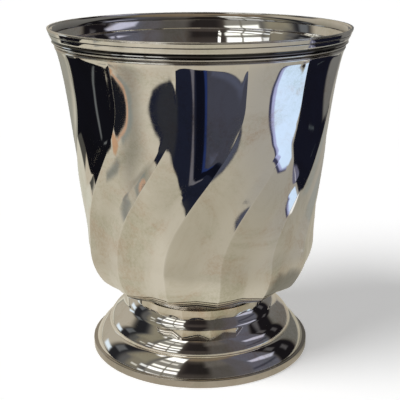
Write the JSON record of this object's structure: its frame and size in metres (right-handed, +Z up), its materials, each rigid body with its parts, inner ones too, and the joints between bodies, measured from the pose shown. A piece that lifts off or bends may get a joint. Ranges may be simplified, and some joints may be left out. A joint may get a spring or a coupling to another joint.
{
  "type": "footed silver cup",
  "caption": "Footed silver cup with a flared mouth, twisted fluting round the bowl, a reeded rim strip and a stepped, hollow round foot.",
  "frame": {"origin": "centre of the flat face that the foot rests on", "axes": "+Z up along the cup's axis; -Y towards the viewer of the picture, +X to the viewer's right"},
  "size_m": [0.08, 0.08, 0.09],
  "materials": {
    "polished_silver": "mirror polished silver sheet with faint warm tarnish and hairline wear",
    "drawn_silver": "polished drawn silver strip and wire, darker in the grooves",
    "hard_solder": "bright silver solder, softly rough"
  },
  "bodies": {
    "root": {"bowl": "polished_silver", "rim_moulding": "drawn_silver", "rim_bead": "drawn_silver", "foot_shell": "polished_silver", "neck_solder": "hard_solder", "foot_band": "drawn_silver", "band_solder": "hard_solder"}
  },
  "joints": []
}
